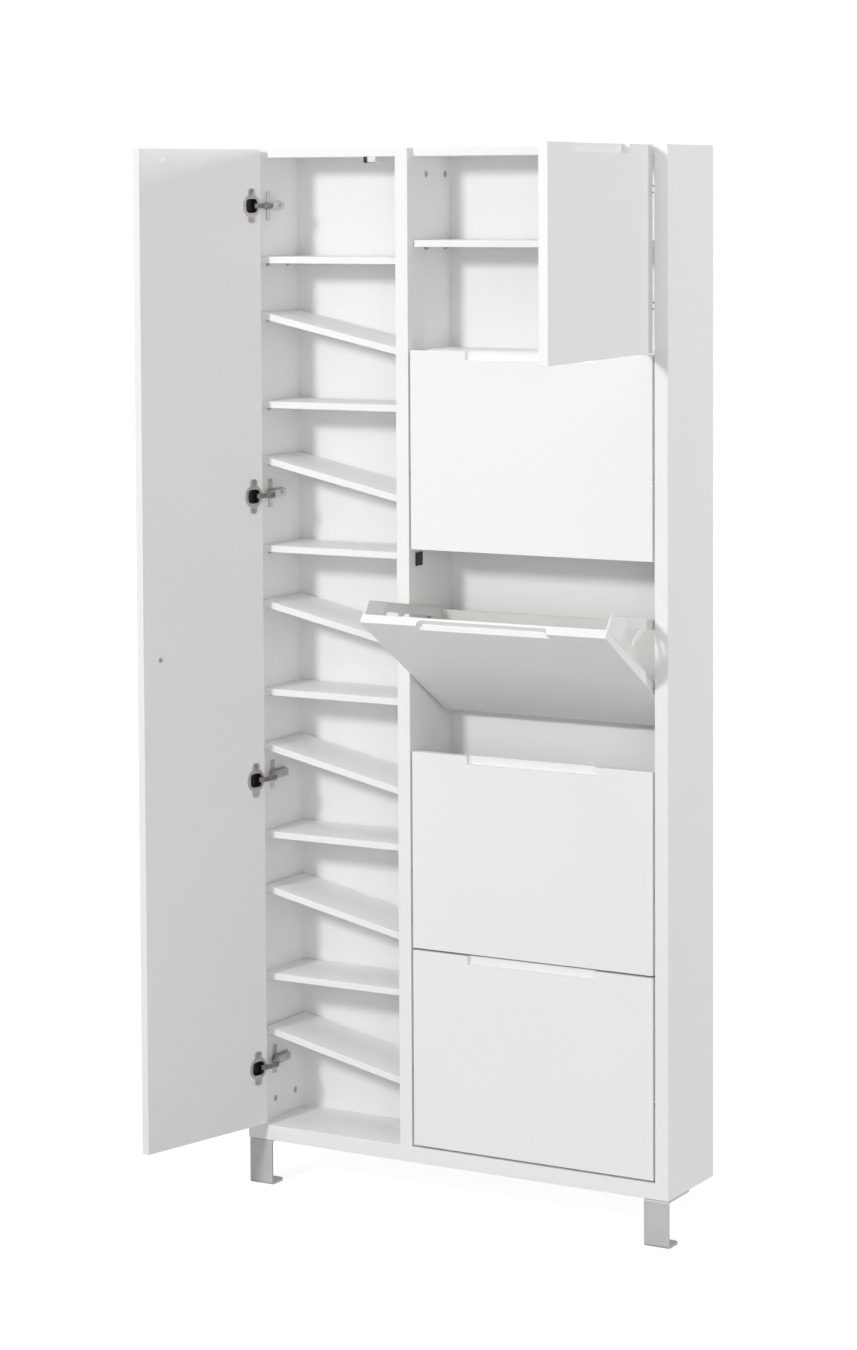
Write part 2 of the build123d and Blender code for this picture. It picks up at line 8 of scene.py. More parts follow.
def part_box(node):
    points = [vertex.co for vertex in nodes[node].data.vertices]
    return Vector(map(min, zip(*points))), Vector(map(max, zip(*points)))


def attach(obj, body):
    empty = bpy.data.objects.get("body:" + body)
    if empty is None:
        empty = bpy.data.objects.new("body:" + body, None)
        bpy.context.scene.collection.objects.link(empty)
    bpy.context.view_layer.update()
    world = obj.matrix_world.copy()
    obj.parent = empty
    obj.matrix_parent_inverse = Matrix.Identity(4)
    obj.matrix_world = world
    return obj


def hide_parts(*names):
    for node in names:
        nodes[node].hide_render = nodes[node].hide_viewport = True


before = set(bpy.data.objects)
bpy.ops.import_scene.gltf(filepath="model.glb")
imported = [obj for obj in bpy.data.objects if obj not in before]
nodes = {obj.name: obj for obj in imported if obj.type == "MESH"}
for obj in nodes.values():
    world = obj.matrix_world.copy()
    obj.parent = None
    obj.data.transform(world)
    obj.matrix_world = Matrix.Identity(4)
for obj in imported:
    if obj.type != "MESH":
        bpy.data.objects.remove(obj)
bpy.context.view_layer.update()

# Carcass boards: two sides, a divider, the bottom, two tops, a compartment floor and the shelves.
# They are chipboard faced with white melamine, with a plastic band glued on every visible edge.
# The edges that meet the wall are left raw, so the chips show there.


def node_material(name):
    """A new node material, its tree, its Principled shader and its object coordinates."""
    material = bpy.data.materials.new(name)
    material.use_nodes = True
    tree = material.node_tree
    shader = tree.nodes["Principled BSDF"]
    place = tree.nodes.new("ShaderNodeTexCoord")
    return material, tree, shader, place.outputs["Object"]


def noise(tree, place, scale, detail=2.0, roughness=0.5, stretch=None):
    """A noise value on the piece's own coordinates, stretched if it has a direction."""
    if stretch:
        mapping = tree.nodes.new("ShaderNodeMapping")
        mapping.inputs["Scale"].default_value = stretch
        tree.links.new(place, mapping.inputs["Vector"])
        place = mapping.outputs["Vector"]
    texture = tree.nodes.new("ShaderNodeTexNoise")
    texture.inputs["Scale"].default_value = scale
    texture.inputs["Detail"].default_value = detail
    texture.inputs["Roughness"].default_value = roughness
    tree.links.new(place, texture.inputs["Vector"])
    return texture.outputs["Fac"]


def ramp(tree, value, stops):
    """Colours along a value."""
    colours = tree.nodes.new("ShaderNodeValToRGB")
    band = colours.color_ramp
    while len(band.elements) < len(stops):
        band.elements.new(0.5)
    for element, (at, colour) in zip(band.elements, stops):
        element.position = at
        element.color = (*colour, 1)
    tree.links.new(value, colours.inputs["Fac"])
    return colours.outputs["Color"]


def bump(tree, shader, height, distance, strength=1.0, under=None):
    """Relief of a given depth in metres on the shader's normal."""
    relief = tree.nodes.new("ShaderNodeBump")
    relief.inputs["Distance"].default_value = distance
    relief.inputs["Strength"].default_value = strength
    tree.links.new(height, relief.inputs["Height"])
    if under:
        tree.links.new(under, relief.inputs["Normal"])
    tree.links.new(relief.outputs["Normal"], shader.inputs["Normal"])
    return relief.outputs["Normal"]


def mix(tree, mask, first, second):
    """One colour where the mask is 0 and another where it is 1."""
    blend = tree.nodes.new("ShaderNodeMix")
    blend.data_type = "RGBA"
    tree.links.new(mask, blend.inputs["Factor"])
    tree.links.new(first, blend.inputs["A"])
    tree.links.new(second, blend.inputs["B"])
    return blend.outputs["Result"]


def maths(tree, operation, first, second=0.0, third=0.0):
    """A Math node on values or numbers."""
    node = tree.nodes.new("ShaderNodeMath")
    node.operation = operation
    for socket, value in zip(node.inputs, (first, second, third)):
        if hasattr(value, "links"):
            tree.links.new(value, socket)
        else:
            socket.default_value = value
    return node.outputs["Value"]


def axis_value(tree, place, axis):
    """The X, Y or Z part of the coordinates."""
    parts = tree.nodes.new("ShaderNodeSeparateXYZ")
    tree.links.new(place, parts.inputs["Vector"])
    return parts.outputs[axis]


def give(names, material):
    """Dress CAD pieces in a material."""
    for name in names:
        mesh = nodes[name].data
        mesh.materials.clear()
        mesh.materials.append(material)


def melamine(name, light, shade, raw_back=True):
    """White melamine: a barely clouded film with a fine pearl grain, and raw chips at the wall."""
    material, tree, shader, place = node_material(name)
    clouds = noise(tree, place, 3.0, 3.0, 0.55)
    film = ramp(tree, clouds, ((0.3, shade), (0.7, light)))
    if raw_back:
        chips = noise(tree, place, 420.0, 4.0, 0.7, (1.0, 0.3, 0.5))
        bark, wood, straw = (0.23, 0.14, 0.07), (0.52, 0.38, 0.22), (0.71, 0.57, 0.37)
        raw = ramp(tree, chips, ((0.3, bark), (0.5, wood), (0.7, straw)))
        wall_gap = 0.0007
        at_wall = maths(tree, "GREATER_THAN", axis_value(tree, place, "Y"), -wall_gap)
        film = mix(tree, at_wall, film, raw)
    tree.links.new(film, shader.inputs["Base Color"])
    sheen_patches = noise(tree, place, 14.0, 4.0)
    rough = maths(tree, "MULTIPLY_ADD", sheen_patches, 0.12, 0.40)
    tree.links.new(rough, shader.inputs["Roughness"])
    shader.inputs["Specular IOR Level"].default_value = 0.42
    pearl = noise(tree, place, 900.0, 3.0, 0.6)
    waves = noise(tree, place, 22.0, 2.0)
    under = bump(tree, shader, waves, 0.0004, 0.25)
    bump(tree, shader, pearl, 0.00008, 0.5, under)
    return material


board_white = melamine("white_melamine", (0.955, 0.955, 0.95), (0.935, 0.935, 0.935))
boards = ["side_panel_left", "side_panel_right", "divider", "bottom_board"]
boards += ["top_board_left", "top_board_right", "compartment_floor", "small_shelf"]
boards += [name for name in nodes if name.startswith("shelf_") and name != "shelf_pegs"]
give(boards, board_white)

# Shelf pegs: turned steel pins pushed into bores in the uprights, four under every shelf.
# Each has a thin collar that stops it at the board's face, and a rounded nose.


def loose_solids(name):
    """The corners of each separate solid in a CAD node."""
    grid = bmesh.new()
    grid.from_mesh(nodes[name].data)
    bmesh.ops.remove_doubles(grid, verts=grid.verts, dist=1e-6)
    seen = set()
    solids = []
    for first in grid.verts:
        if first in seen:
            continue
        seen.add(first)
        found = [first]
        for corner in found:
            for edge in corner.link_edges:
                other = edge.other_vert(corner)
                if other not in seen:
                    seen.add(other)
                    found.append(other)
        solids.append(numpy.array([list(corner.co) for corner in found]))
    grid.free()
    return solids


def bar_places(name):
    """Head, direction, length, head radius and tip radius of every bar-like solid in a node."""
    hair = 0.0002
    places = []
    for corners in loose_solids(name):
        centre = corners.mean(axis=0)
        axis = numpy.linalg.eigh(numpy.cov((corners - centre).T))[1][:, -1]
        along = (corners - centre) @ axis
        away = numpy.linalg.norm(corners - centre - numpy.outer(along, axis), axis=1)
        ends = [along.min(), along.max()]
        radii = [away[abs(along - end) < hair].max() for end in ends]
        head = Vector(centre + axis * ends[0])
        if radii[1] > radii[0] + hair:
            head = Vector(centre + axis * ends[1])
            axis = -axis
            radii.reverse()
        places.append((head, Vector(axis), ends[1] - ends[0], radii[0], radii[1]))
    return places


def point_cloud(places):
    """A mesh of bare points with each bar's direction, length and radius on them."""
    thickest_screw_tip = 0.0035
    cloud = bpy.data.meshes.new("places")
    cloud.from_pydata([place[0] for place in places], [], [])
    columns = (
        ("axis", "FLOAT_VECTOR", "vector", [part for place in places for part in place[1]]),
        ("length", "FLOAT", "value", [place[2] for place in places]),
        ("radius", "FLOAT", "value", [place[3] for place in places]),
        ("is_pin", "BOOLEAN", "value", [bool(place[4] > thickest_screw_tip) for place in places]),
    )
    for name, kind, field, values in columns:
        cloud.attributes.new(name, kind, "POINT").data.foreach_set(field, values)
    return cloud


def new_tree(name, inputs):
    """A Geometry Nodes tree with named inputs besides its geometry."""
    tree = bpy.data.node_groups.new(name, "GeometryNodeTree")
    tree.interface.new_socket("Geometry", in_out="OUTPUT", socket_type="NodeSocketGeometry")
    tree.interface.new_socket("Geometry", in_out="INPUT", socket_type="NodeSocketGeometry")
    for label, kind in inputs:
        tree.interface.new_socket(label, in_out="INPUT", socket_type=kind)
    return tree, tree.nodes.new("NodeGroupInput"), tree.nodes.new("NodeGroupOutput")


def attribute(tree, name, kind="FLOAT"):
    """A named attribute of the points."""
    node = tree.nodes.new("GeometryNodeInputNamedAttribute")
    node.data_type = kind
    node.inputs["Name"].default_value = name
    return next(socket for socket in node.outputs if socket.enabled and socket.name == "Attribute")


def turned_part(tree, stations, sides):
    """Cones end to end: stations are (from, radius, to, radius) values along the axis."""
    join = tree.nodes.new("GeometryNodeJoinGeometry")
    for low, low_radius, high, high_radius in stations:
        cone = tree.nodes.new("GeometryNodeMeshCone")
        cone.inputs["Vertices"].default_value = sides
        cone.inputs["Radius Bottom"].default_value = low_radius
        cone.inputs["Radius Top"].default_value = high_radius
        cone.inputs["Depth"].default_value = high - low
        move = tree.nodes.new("GeometryNodeTransform")
        move.inputs["Translation"].default_value = (0, 0, low)
        tree.links.new(cone.outputs["Mesh"], move.inputs["Geometry"])
        tree.links.new(move.outputs["Geometry"], join.inputs["Geometry"])
    return join.outputs["Geometry"]


def set_on_points(tree, source, shape, axis, scale=None, selection=None, spin_seed=None):
    """Instances of a shape whose Z follows each point's direction."""
    place = tree.nodes.new("GeometryNodeInstanceOnPoints")
    align = tree.nodes.new("FunctionNodeAlignRotationToVector")
    align.axis = "Z"
    tree.links.new(source, place.inputs["Points"])
    tree.links.new(shape, place.inputs["Instance"])
    tree.links.new(axis, align.inputs["Vector"])
    tree.links.new(align.outputs["Rotation"], place.inputs["Rotation"])
    if scale:
        tree.links.new(scale, place.inputs["Scale"])
    if selection:
        tree.links.new(selection, place.inputs["Selection"])
    if not spin_seed:
        return place.outputs["Instances"]
    spin = tree.nodes.new("FunctionNodeRandomValue")
    turn = tree.nodes.new("GeometryNodeRotateInstances")
    angle = tree.nodes.new("ShaderNodeCombineXYZ")
    spin.data_type = "FLOAT"
    value = next(socket for socket in spin.outputs if socket.enabled)
    high = next(socket for socket in spin.inputs if socket.enabled and socket.name == "Max")
    high.default_value = math.pi
    tree.links.new(spin_seed, spin.inputs["Seed"])
    tree.links.new(value, angle.inputs["Z"])
    tree.links.new(place.outputs["Instances"], turn.inputs["Instances"])
    tree.links.new(angle.outputs["Vector"], turn.inputs["Rotation"])
    return turn.outputs["Instances"]


def finish_tree(tree, geometry, given, output):
    """Realise the instances and dress them."""
    real = tree.nodes.new("GeometryNodeRealizeInstances")
    dress = tree.nodes.new("GeometryNodeSetMaterial")
    tree.links.new(geometry, real.inputs["Geometry"])
    tree.links.new(real.outputs["Geometry"], dress.inputs["Geometry"])
    tree.links.new(given.outputs["Material"], dress.inputs["Material"])
    tree.links.new(dress.outputs["Geometry"], output.inputs["Geometry"])


def grown(name, cloud, tree, values):
    """The mesh that a tree grows on a point cloud, as an object of its own."""
    seedling = bpy.data.objects.new(name + "_points", cloud)
    bpy.context.scene.collection.objects.link(seedling)
    modifier = seedling.modifiers.new("grow", "NODES")
    modifier.node_group = tree
    for socket in tree.interface.items_tree:
        if socket.in_out == "INPUT" and socket.name in values:
            modifier[socket.identifier] = values[socket.name]
    bpy.context.view_layer.update()
    evaluated = seedling.evaluated_get(bpy.context.evaluated_depsgraph_get())
    mesh = bpy.data.meshes.new_from_object(evaluated)
    bpy.data.objects.remove(seedling)
    mesh.name = name
    return finished(name, mesh)


def finished(name, mesh, smooth_below=35.0):
    """A finished mesh as an object at the origin, smooth across all but sharp edges."""
    mesh.shade_smooth()
    mesh.set_sharp_from_angle(angle=math.radians(smooth_below))
    piece = bpy.data.objects.new(name, mesh)
    bpy.context.scene.collection.objects.link(piece)
    return piece


def plated_steel(name, colour, rough, brush=(1.0, 1.0, 1.0)):
    """Plated steel with fine drawing marks and slightly uneven plating."""
    material, tree, shader, place = node_material(name)
    marks = noise(tree, place, 600.0, 4.0, 0.65, brush)
    plating = noise(tree, place, 60.0, 3.0)
    darker = tuple(part * 0.8 for part in colour)
    tree.links.new(ramp(tree, plating, ((0.3, darker), (0.7, colour))), shader.inputs["Base Color"])
    shader.inputs["Metallic"].default_value = 1.0
    tree.links.new(maths(tree, "MULTIPLY_ADD", marks, 0.2, rough), shader.inputs["Roughness"])
    bump(tree, shader, marks, 0.00005, 0.4)
    return material


nickel = plated_steel("nickel_plate", (0.62, 0.60, 0.58), 0.24)
peg_tree, peg_given, peg_output = new_tree("peg", [("Material", "NodeSocketMaterial")])
peg_seat = 0.009
peg_end = peg_seat + 0.007
peg_radius = 0.0025
peg_chamfer = 0.001
peg_nose = 0.0012
stub_radius = 0.0024
collar_radius = 0.0037
collar_from, collar_to = peg_seat + 0.0001, peg_seat + 0.0008
peg_shape = turned_part(
    peg_tree,
    [
        (0.0, 0.0018, peg_chamfer, peg_radius),
        (peg_chamfer, peg_radius, collar_from, peg_radius),
        (collar_from, collar_radius, collar_to, collar_radius),
        (collar_to, stub_radius, peg_end - peg_nose, stub_radius),
        (peg_end - peg_nose, stub_radius, peg_end, stub_radius / 2),
    ],
    12,
)
peg_axis = attribute(peg_tree, "axis", "FLOAT_VECTOR")
pegs_set = set_on_points(peg_tree, peg_given.outputs["Geometry"], peg_shape, peg_axis)
finish_tree(peg_tree, pegs_set, peg_given, peg_output)
left_inner_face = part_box("side_panel_left")[1].x
right_inner_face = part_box("side_panel_right")[0].x
divider_faces = (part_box("divider")[0].x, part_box("divider")[1].x)
peg_places = []
for corners in loose_solids("shelf_pegs"):
    low, high = Vector(corners.min(axis=0)), Vector(corners.max(axis=0))
    sits_left = any(
        low.x < face < high.x and high.x - face < peg_seat - peg_chamfer
        for face in (left_inner_face, divider_faces[1])
    )
    start = Vector((low.x if sits_left else high.x, (low.y + high.y) / 2, (low.z + high.z) / 2))
    direction = Vector((1, 0, 0)) if sits_left else Vector((-1, 0, 0))
    peg_places.append((start, direction, high.x - low.x, peg_radius, peg_radius))
pegs = grown("turned_shelf_pegs", point_cloud(peg_places), peg_tree, {"Material": nickel})
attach(pegs, "carcass")
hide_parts("shelf_pegs")

# Back panels: two sheets of hardboard, slid into grooves before the top boards go on.
# The room side has a white lacquer and the wall side is bare brown fibre with a screen pattern.


def hardboard(name, front_face):
    """Lacquered hardboard in front, brown pressed fibre behind."""
    material, tree, shader, place = node_material(name)
    clouds = noise(tree, place, 2.0, 3.0)
    lacquer = ramp(tree, clouds, ((0.3, (0.93, 0.93, 0.928)), (0.7, (0.95, 0.95, 0.948))))
    fibres = noise(tree, place, 260.0, 6.0, 0.7, (1.0, 1.0, 0.35))
    fibre = ramp(tree, fibres, ((0.3, (0.16, 0.09, 0.045)), (0.7, (0.34, 0.21, 0.11))))
    half_sheet = 0.0015
    behind = maths(tree, "GREATER_THAN", axis_value(tree, place, "Y"), front_face + half_sheet)
    tree.links.new(mix(tree, behind, lacquer, fibre), shader.inputs["Base Color"])
    shader.inputs["Roughness"].default_value = 0.55
    mesh_marks = tree.nodes.new("ShaderNodeTexVoronoi")
    mesh_marks.inputs["Scale"].default_value = 450.0
    tree.links.new(place, mesh_marks.inputs["Vector"])
    under = bump(tree, shader, mesh_marks.outputs["Distance"], 0.0001, 0.4)
    bump(tree, shader, fibres, 0.0001, 0.35, under)
    return material


back_panels = ["back_panel_left", "back_panel_right"]
give(back_panels, hardboard("lacquered_hardboard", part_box("back_panel_left")[0].y))

# Doors and flap fronts: 16 mm boards of the same white, with a finger pull routed in the upper
# edge of the small door and of each flap. Their whole outline is banded. The small plate that
# the catch pulls on is steel, painted white like the tall door.

flaps = range(1, 5)
front_white = melamine("front_melamine", (0.955, 0.955, 0.953), (0.94, 0.94, 0.94), raw_back=False)
give(["tall_door", "small_door", "strike_plate"], front_white)
give([f"flap_{number}_front" for number in flaps], front_white)

# Flap cheeks: injection-moulded plates at each end of a flap, flush with its edges, screwed to
# its back through a flange. The curved window runs on the stop peg and sets how far it opens.
# The bushes that the pins turn in and the stop pegs are moulded in the same plastic.


def moulded(name, colour, rough, grain=700.0):
    """Moulded plastic: even colour with flow clouds, spark-eroded grain and a soft shine."""
    material, tree, shader, place = node_material(name)
    flow = noise(tree, place, 9.0, 3.0, 0.5)
    darker = tuple(part * 0.95 for part in colour)
    tree.links.new(ramp(tree, flow, ((0.3, darker), (0.7, colour))), shader.inputs["Base Color"])
    tree.links.new(maths(tree, "MULTIPLY_ADD", flow, 0.1, rough), shader.inputs["Roughness"])
    bump(tree, shader, noise(tree, place, grain, 3.0, 0.6), 0.0001, 0.5)
    return material


cheek_white = moulded("cheek_plastic", (0.86, 0.855, 0.825), 0.42)
give([f"flap_{number}_cheeks" for number in flaps], cheek_white)
give(["flap_bushes", "flap_stop_pegs"], cheek_white)

# Flap trays: one bent plastic sheet between the cheeks, floor and sloping back in one.
# Shoes stand on the floor and lean on the back, so its grain is a little coarser and duller.

tray_white = moulded("tray_plastic", (0.86, 0.86, 0.835), 0.48, 500.0)
give([f"flap_{number}_tray" for number in flaps], tray_white)

# Flap catches: small black pads on the divider beside each flap's upper corner, moulded in a
# dense plastic with the same eroded grain as the cheeks.

catch_black = moulded("catch_plastic", (0.02, 0.02, 0.021), 0.38)
give(["flap_catches"], catch_black)

# Hinge plates, arms and links: pressed steel. The cross-shaped plate is screwed to the upright
# and the arm clamps on it, both nickel plated. The curved link between arm and cup is coloured darker as
# painted shade.

give(["hinge_plates", "hinge_arms"], nickel)
# The link's darker steel colour is painted shade.
painted_shade_link_steel = plated_steel("painted_shade_link_steel", (0.30, 0.28, 0.27), 0.38)
give(["tall_hinge_links", "small_hinge_links"], painted_shade_link_steel)

# Wall brackets and cam locks: the brackets are bent from zinc-plated strip and screwed under
# the top boards, with a leg on the wall. The cams are die-cast zinc drums turned tight in bores.

give(["wall_brackets"], plated_steel("bracket_zinc", (0.62, 0.64, 0.68), 0.34))
give(["cam_locks"], plated_steel("die_cast_zinc", (0.66, 0.66, 0.67), 0.38))

# Screws and pins: countersunk steel screws with a cross recess, each stopped at its own angle,
# and the plain chamfered pins that the flaps turn on.

screw_inputs = [
    ("Head Radius", "NodeSocketFloat"),
    ("Seed", "NodeSocketInt"),
    ("Material", "NodeSocketMaterial"),
]
screw_tree, screw_given, screw_output = new_tree("screw", screw_inputs)
links = screw_tree.links
head_radius = 0.0036
head_depth = 0.0019
shank_radius = 0.0017
pin_radius = 0.004
pin_chamfer = 0.0034
recess_span, recess_gap, recess_depth = 0.0042, 0.0008, 0.0024
head_cone = screw_tree.nodes.new("GeometryNodeMeshCone")
head_cone.inputs["Vertices"].default_value = 18
head_cone.inputs["Radius Top"].default_value = shank_radius
head_cone.inputs["Depth"].default_value = head_depth
links.new(screw_given.outputs["Head Radius"], head_cone.inputs["Radius Bottom"])
recess = screw_tree.nodes.new("GeometryNodeMeshBoolean")
recess.operation = "DIFFERENCE"
links.new(head_cone.outputs["Mesh"], recess.inputs["Mesh 1"])
for size in ((recess_span, recess_gap, recess_depth), (recess_gap, recess_span, recess_depth)):
    arm_of_cross = screw_tree.nodes.new("GeometryNodeMeshCube")
    arm_of_cross.inputs["Size"].default_value = size
    links.new(arm_of_cross.outputs["Mesh"], recess.inputs["Mesh 2"])
shank = turned_part(
    screw_tree,
    [(0.0, shank_radius, 0.8, shank_radius), (0.8, shank_radius, 1.0, 0.0003)],
    8,
)
pin = turned_part(
    screw_tree,
    [
        (0.0, pin_chamfer, 0.025, pin_radius),
        (0.025, pin_radius, 0.975, pin_radius),
        (0.975, pin_radius, 1.0, pin_chamfer),
    ],
    20,
)
screw_axis = attribute(screw_tree, "axis", "FLOAT_VECTOR")
radius_here = attribute(screw_tree, "radius")
is_pin = attribute(screw_tree, "is_pin", "BOOLEAN")
not_pin = screw_tree.nodes.new("FunctionNodeBooleanMath")
not_pin.operation = "NOT"
links.new(is_pin, not_pin.inputs[0])
is_screw = not_pin.outputs["Boolean"]


def lengthened(tree, length):
    """A scale that stretches a unit-long bar along its axis only."""
    scale = tree.nodes.new("ShaderNodeCombineXYZ")
    scale.inputs["X"].default_value = 1.0
    scale.inputs["Y"].default_value = 1.0
    tree.links.new(length, scale.inputs["Z"])
    return scale.outputs["Vector"]


relative = maths(screw_tree, "DIVIDE", radius_here, screw_given.outputs["Head Radius"])
head_scale = screw_tree.nodes.new("ShaderNodeCombineXYZ")
for axis_name in "XYZ":
    links.new(relative, head_scale.inputs[axis_name])
full_length = attribute(screw_tree, "length")
shank_scale = lengthened(screw_tree, maths(screw_tree, "SUBTRACT", full_length, head_depth))
pin_scale = lengthened(screw_tree, full_length)
points = screw_given.outputs["Geometry"]
heads = set_on_points(
    screw_tree,
    points,
    recess.outputs["Mesh"],
    screw_axis,
    scale=head_scale.outputs["Vector"],
    selection=is_screw,
    spin_seed=screw_given.outputs["Seed"],
)
shanks = set_on_points(screw_tree, points, shank, screw_axis, shank_scale, is_screw)
sink_shanks = screw_tree.nodes.new("GeometryNodeTranslateInstances")
sink_shanks.inputs["Translation"].default_value = (0, 0, head_depth)
links.new(shanks, sink_shanks.inputs["Instances"])
pins = set_on_points(screw_tree, points, pin, screw_axis, pin_scale, is_pin)
all_bars = screw_tree.nodes.new("GeometryNodeJoinGeometry")
for instances in (heads, sink_shanks.outputs["Instances"], pins):
    links.new(instances, all_bars.inputs["Geometry"])
finish_tree(screw_tree, all_bars.outputs["Geometry"], screw_given, screw_output)
screw_sets = [("steel_screws", "carcass"), ("tall_door_screws", "tall_door")]
screw_sets += [("small_door_screws", "small_door")]
screw_sets += [(f"flap_{number}_pins_and_screws", f"flap_{number}") for number in flaps]
first_seed = 7
for seed, (node, body) in enumerate(screw_sets, first_seed):
    values = {"Head Radius": head_radius, "Seed": seed, "Material": nickel}
    fixings = grown(node + "_turned", point_cloud(bar_places(node)), screw_tree, values)
    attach(fixings, body)
    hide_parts(node)

# Hinge cups: drawn steel, pressed into the doors. Each has a thin flange with two screw wings
# and a mouth for the link. The inside of the mouth is coloured near black as painted shade.

# Near-black steel: painted shade inside the hinge cups' mouths, and the colour of the catch's steel
# plates.
dark_steel_and_painted_shade = plated_steel("dark_plate_steel_and_painted_shade", (0.10, 0.09, 0.085), 0.42)
front_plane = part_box("side_panel_left")[0].y
cup_offset = 0.0225
door_t = 0.016
flange_t = 0.0012
flange_radius = 0.0205
wing_half = 0.0085
wing_top = 0.031
wing_corner = 0.006


def quadrant_outline():
    """A quarter of the flange's edge: round part, waist, wing and the wing's round corner."""
    waist = math.acos(wing_half / flange_radius)
    rim_steps, corner_steps = 6, 4
    outline = []
    for i in range(rim_steps + 1):
        turn = waist * i / rim_steps
        outline.append((flange_radius * math.cos(turn), flange_radius * math.sin(turn)))
    for i in range(corner_steps + 1):
        turn = math.pi / 2 * i / corner_steps
        u = wing_half - wing_corner + wing_corner * math.cos(turn)
        v = wing_top - wing_corner + wing_corner * math.sin(turn)
        outline.append((u, v))
    return outline


quarter = quadrant_outline()
flange_edge = quarter + [(0.0, wing_top)] + [(-u, v) for u, v in reversed(quarter)]
flange_edge += [(-u, -v) for u, v in quarter[1:]] + [(0.0, -wing_top)]
flange_edge += [(u, -v) for u, v in reversed(quarter[1:])]


def mouth(u, v, half_u, half_v):
    """The point of a round-cornered mouth in the same direction from the middle."""
    turn = math.atan2(v, u)
    reach = (abs(math.cos(turn)) / half_u) ** 4 + (abs(math.sin(turn)) / half_v) ** 4
    return reach ** -0.25 * math.cos(turn), reach ** -0.25 * math.sin(turn)


def circle_at(u, v, radius):
    """The point of a circle in the same direction from the middle."""
    turn = math.atan2(v, u)
    return radius * math.cos(turn), radius * math.sin(turn)


def cup_rings():
    """Rings from the floor of the mouth, over the flange and down the outside of the cup."""
    eased = 0.0003
    shrink = 1 - eased / 0.02
    mouth_floor = (0.0115, 0.0112, -0.0100)
    mouth_lip = (0.0135, 0.0122, -0.0010)
    mouth_rim = (0.0138, 0.0125, flange_t)
    cup_top, cup_foot = (0.0173, 0.0), (0.0168, -0.0112)
    rings = []
    for half_u, half_v, out in (mouth_floor, mouth_lip, mouth_rim):
        rings.append([(*mouth(u, v, half_u, half_v), out) for u, v in flange_edge])
    rings.append([(u * shrink, v * shrink, flange_t) for u, v in flange_edge])
    for out in (flange_t - eased, 0.0):
        rings.append([(u, v, out) for u, v in flange_edge])
    for radius, out in (cup_top, cup_foot):
        rings.append([(*circle_at(u, v, radius), out) for u, v in flange_edge])
    return rings


def add_rings(grid, rings, matrix, slots):
    """Join rings into a closed skin; slots gives the material slot of each band."""
    rows = [[grid.verts.new(matrix @ Vector(point)) for point in ring] for ring in rings]
    count = len(rows[0])
    made = []
    for band in range(len(rows) - 1):
        for i in range(count):
            j = (i + 1) % count
            face = grid.faces.new((rows[band][i], rows[band][j], rows[band + 1][j], rows[band + 1][i]))
            face.material_index = slots[band]
            made.append(face)
    for row, slot in ((rows[0], slots[0]), (rows[-1], slots[-1])):
        cap = grid.faces.new(row)
        cap.material_index = slot
        made.append(cap)
    return made


def skin(name, grid, materials):
    """Close a grid into a mesh object with faces outward."""
    bmesh.ops.recalc_face_normals(grid, faces=grid.faces)
    mesh = bpy.data.meshes.new(name)
    grid.to_mesh(mesh)
    grid.free()
    for material in materials:
        mesh.materials.append(material)
    return finished(name, mesh)


door_gap = 0.003
tall_open = math.radians(104.0)
small_open = math.radians(96.0)
tall_corner = left_inner_face + door_gap
small_corner = right_inner_face - door_gap
cup_face = Matrix(((1, 0, 0, cup_offset), (0, 0, 1, door_t), (0, 1, 0, 0), (0, 0, 0, 1)))
for side, corner, opened, facing in (
    ("tall", tall_corner, tall_open, 1),
    ("small", small_corner, small_open, -1),
):
    flip = Matrix.Diagonal((facing, 1, 1, 1))
    hang = Matrix.Translation((corner, front_plane, 0)) @ flip @ Matrix.Rotation(-opened, 4, "Z")
    cup_corners = loose_solids(f"{side}_hinge_cups")
    grid = bmesh.new()
    for height in sorted((corners[:, 2].min() + corners[:, 2].max()) / 2 for corners in cup_corners):
        at = hang @ Matrix.Translation((0, 0, height)) @ cup_face
        # Slot 1 colours the mouth's inside near black as painted shade.
        add_rings(grid, cup_rings(), at, (1, 1, 0, 0, 0, 0, 0))
    cups = skin(f"{side}_door_cups", grid, [nickel, dark_steel_and_painted_shade])
    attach(cups, f"{side}_door")
    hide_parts(f"{side}_hinge_cups")

# Knob: turned metal, nickel plated, on a short neck, with a slightly crowned face. One screw
# through the tall door holds it.

knob_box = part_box("tall_door_knob")
knob_middle = (Vector(knob_box[0]) + Vector(knob_box[1])) / 2
door_turn = Matrix.Rotation(-tall_open, 4, "Z")
knob_hang = Matrix.Translation((tall_corner, front_plane, 0)) @ door_turn
knob_x = (knob_hang.inverted() @ knob_middle).x
knob_profile = [
    (0.0052, 0.0), (0.0058, 0.0008), (0.0050, 0.0018), (0.0048, 0.0075), (0.0056, 0.0096),
    (0.0088, 0.0107), (0.0110, 0.0122), (0.0119, 0.0145), (0.0120, 0.0175), (0.0114, 0.0200),
    (0.0100, 0.0213), (0.0060, 0.0219), (0.0020, 0.0220),
]
knob_sides = 40
turns = [2 * math.pi * i / knob_sides for i in range(knob_sides)]
knob_rings = []
for radius, out in knob_profile:
    knob_rings.append([(radius * math.cos(turn), -out, radius * math.sin(turn)) for turn in turns])
grid = bmesh.new()
at = knob_hang @ Matrix.Translation((knob_x, 0, knob_middle.z))
add_rings(grid, knob_rings, at, [0] * (len(knob_profile) - 1))
knob = skin("turned_knob", grid, [plated_steel("knob_nickel", (0.66, 0.65, 0.64), 0.2)])
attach(knob, "tall_door")
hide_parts("tall_door_knob")

# Magnetic catch: a white moulded housing with a magnet between two steel plates at its left end.
# It is screwed under the left top board and pulls on the steel disc on the door.


